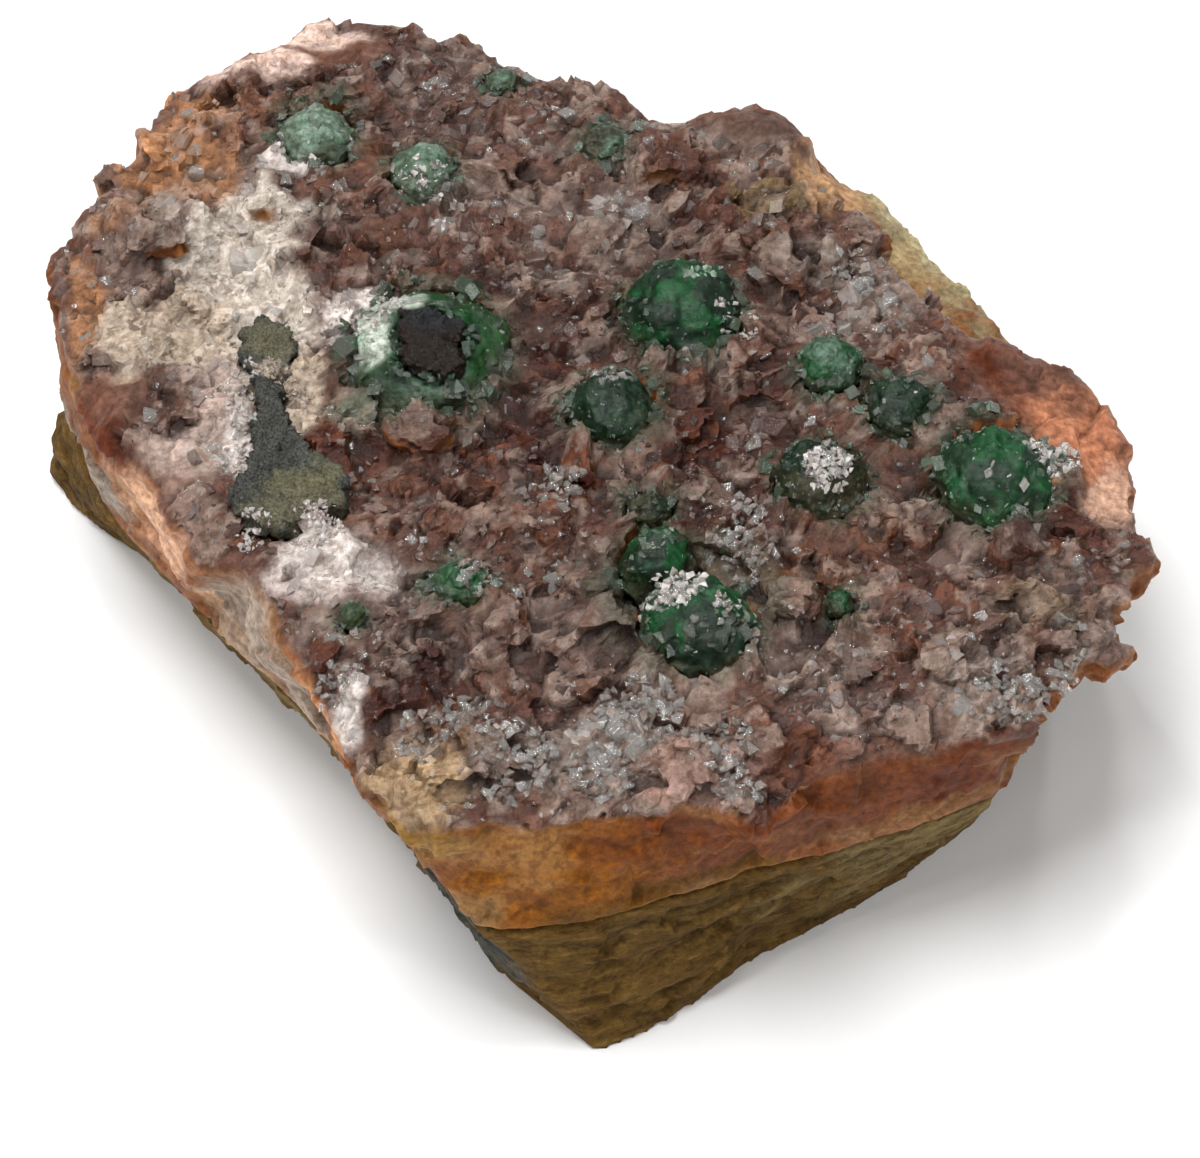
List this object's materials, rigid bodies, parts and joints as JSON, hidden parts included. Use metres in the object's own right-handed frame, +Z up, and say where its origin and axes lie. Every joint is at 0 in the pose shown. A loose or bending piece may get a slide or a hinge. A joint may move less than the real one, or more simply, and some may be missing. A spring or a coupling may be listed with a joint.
{
  "type": "dolomite with malachite",
  "caption": "Squarish hand specimen of pinkish dolomite crust with green malachite balls, on a base of olive foliated wall rock.",
  "frame": {"origin": "centre of the footprint, on the flat underside", "axes": "+Z up, out of the crystal crust; -Y towards the sharp corner that faces the camera; +X to the picture's right"},
  "size_m": [0.0858, 0.0858, 0.0297],
  "materials": {
    "wall_rock": "rough, foliated, olive brown",
    "dolomite": "waxy and pearly, dusty pink with orange, white and rust-red areas",
    "clear_crystal": "colourless glassy crystal tips",
    "dark_wall_rock": "matte charcoal and olive, granular",
    "dark_core": "dark brown to bluish charcoal, partly glossy",
    "malachite": "silky emerald to grey green, covered with tiny crystals"
  },
  "bodies": {
    "root": {"wall_rock": "wall_rock", "dolomite_vein": "dolomite", "wall_rock_sliver": "dark_wall_rock", "dark_core": "dark_core", "malachite_ball_01": "malachite", "malachite_ball_02": "malachite", "malachite_ball_03": "malachite", "malachite_ball_04": "malachite", "malachite_ball_05": "malachite", "malachite_ball_06": "malachite", "malachite_ball_07": "malachite", "malachite_ball_08": "malachite", "malachite_ball_09": "malachite", "malachite_ball_10": "malachite", "malachite_ball_11": "malachite", "malachite_ball_12": "malachite", "malachite_ball_13": "malachite", "malachite_ball_14": "malachite", "malachite_ball_15": "malachite", "malachite_ball_16": "malachite"}
  },
  "joints": []
}
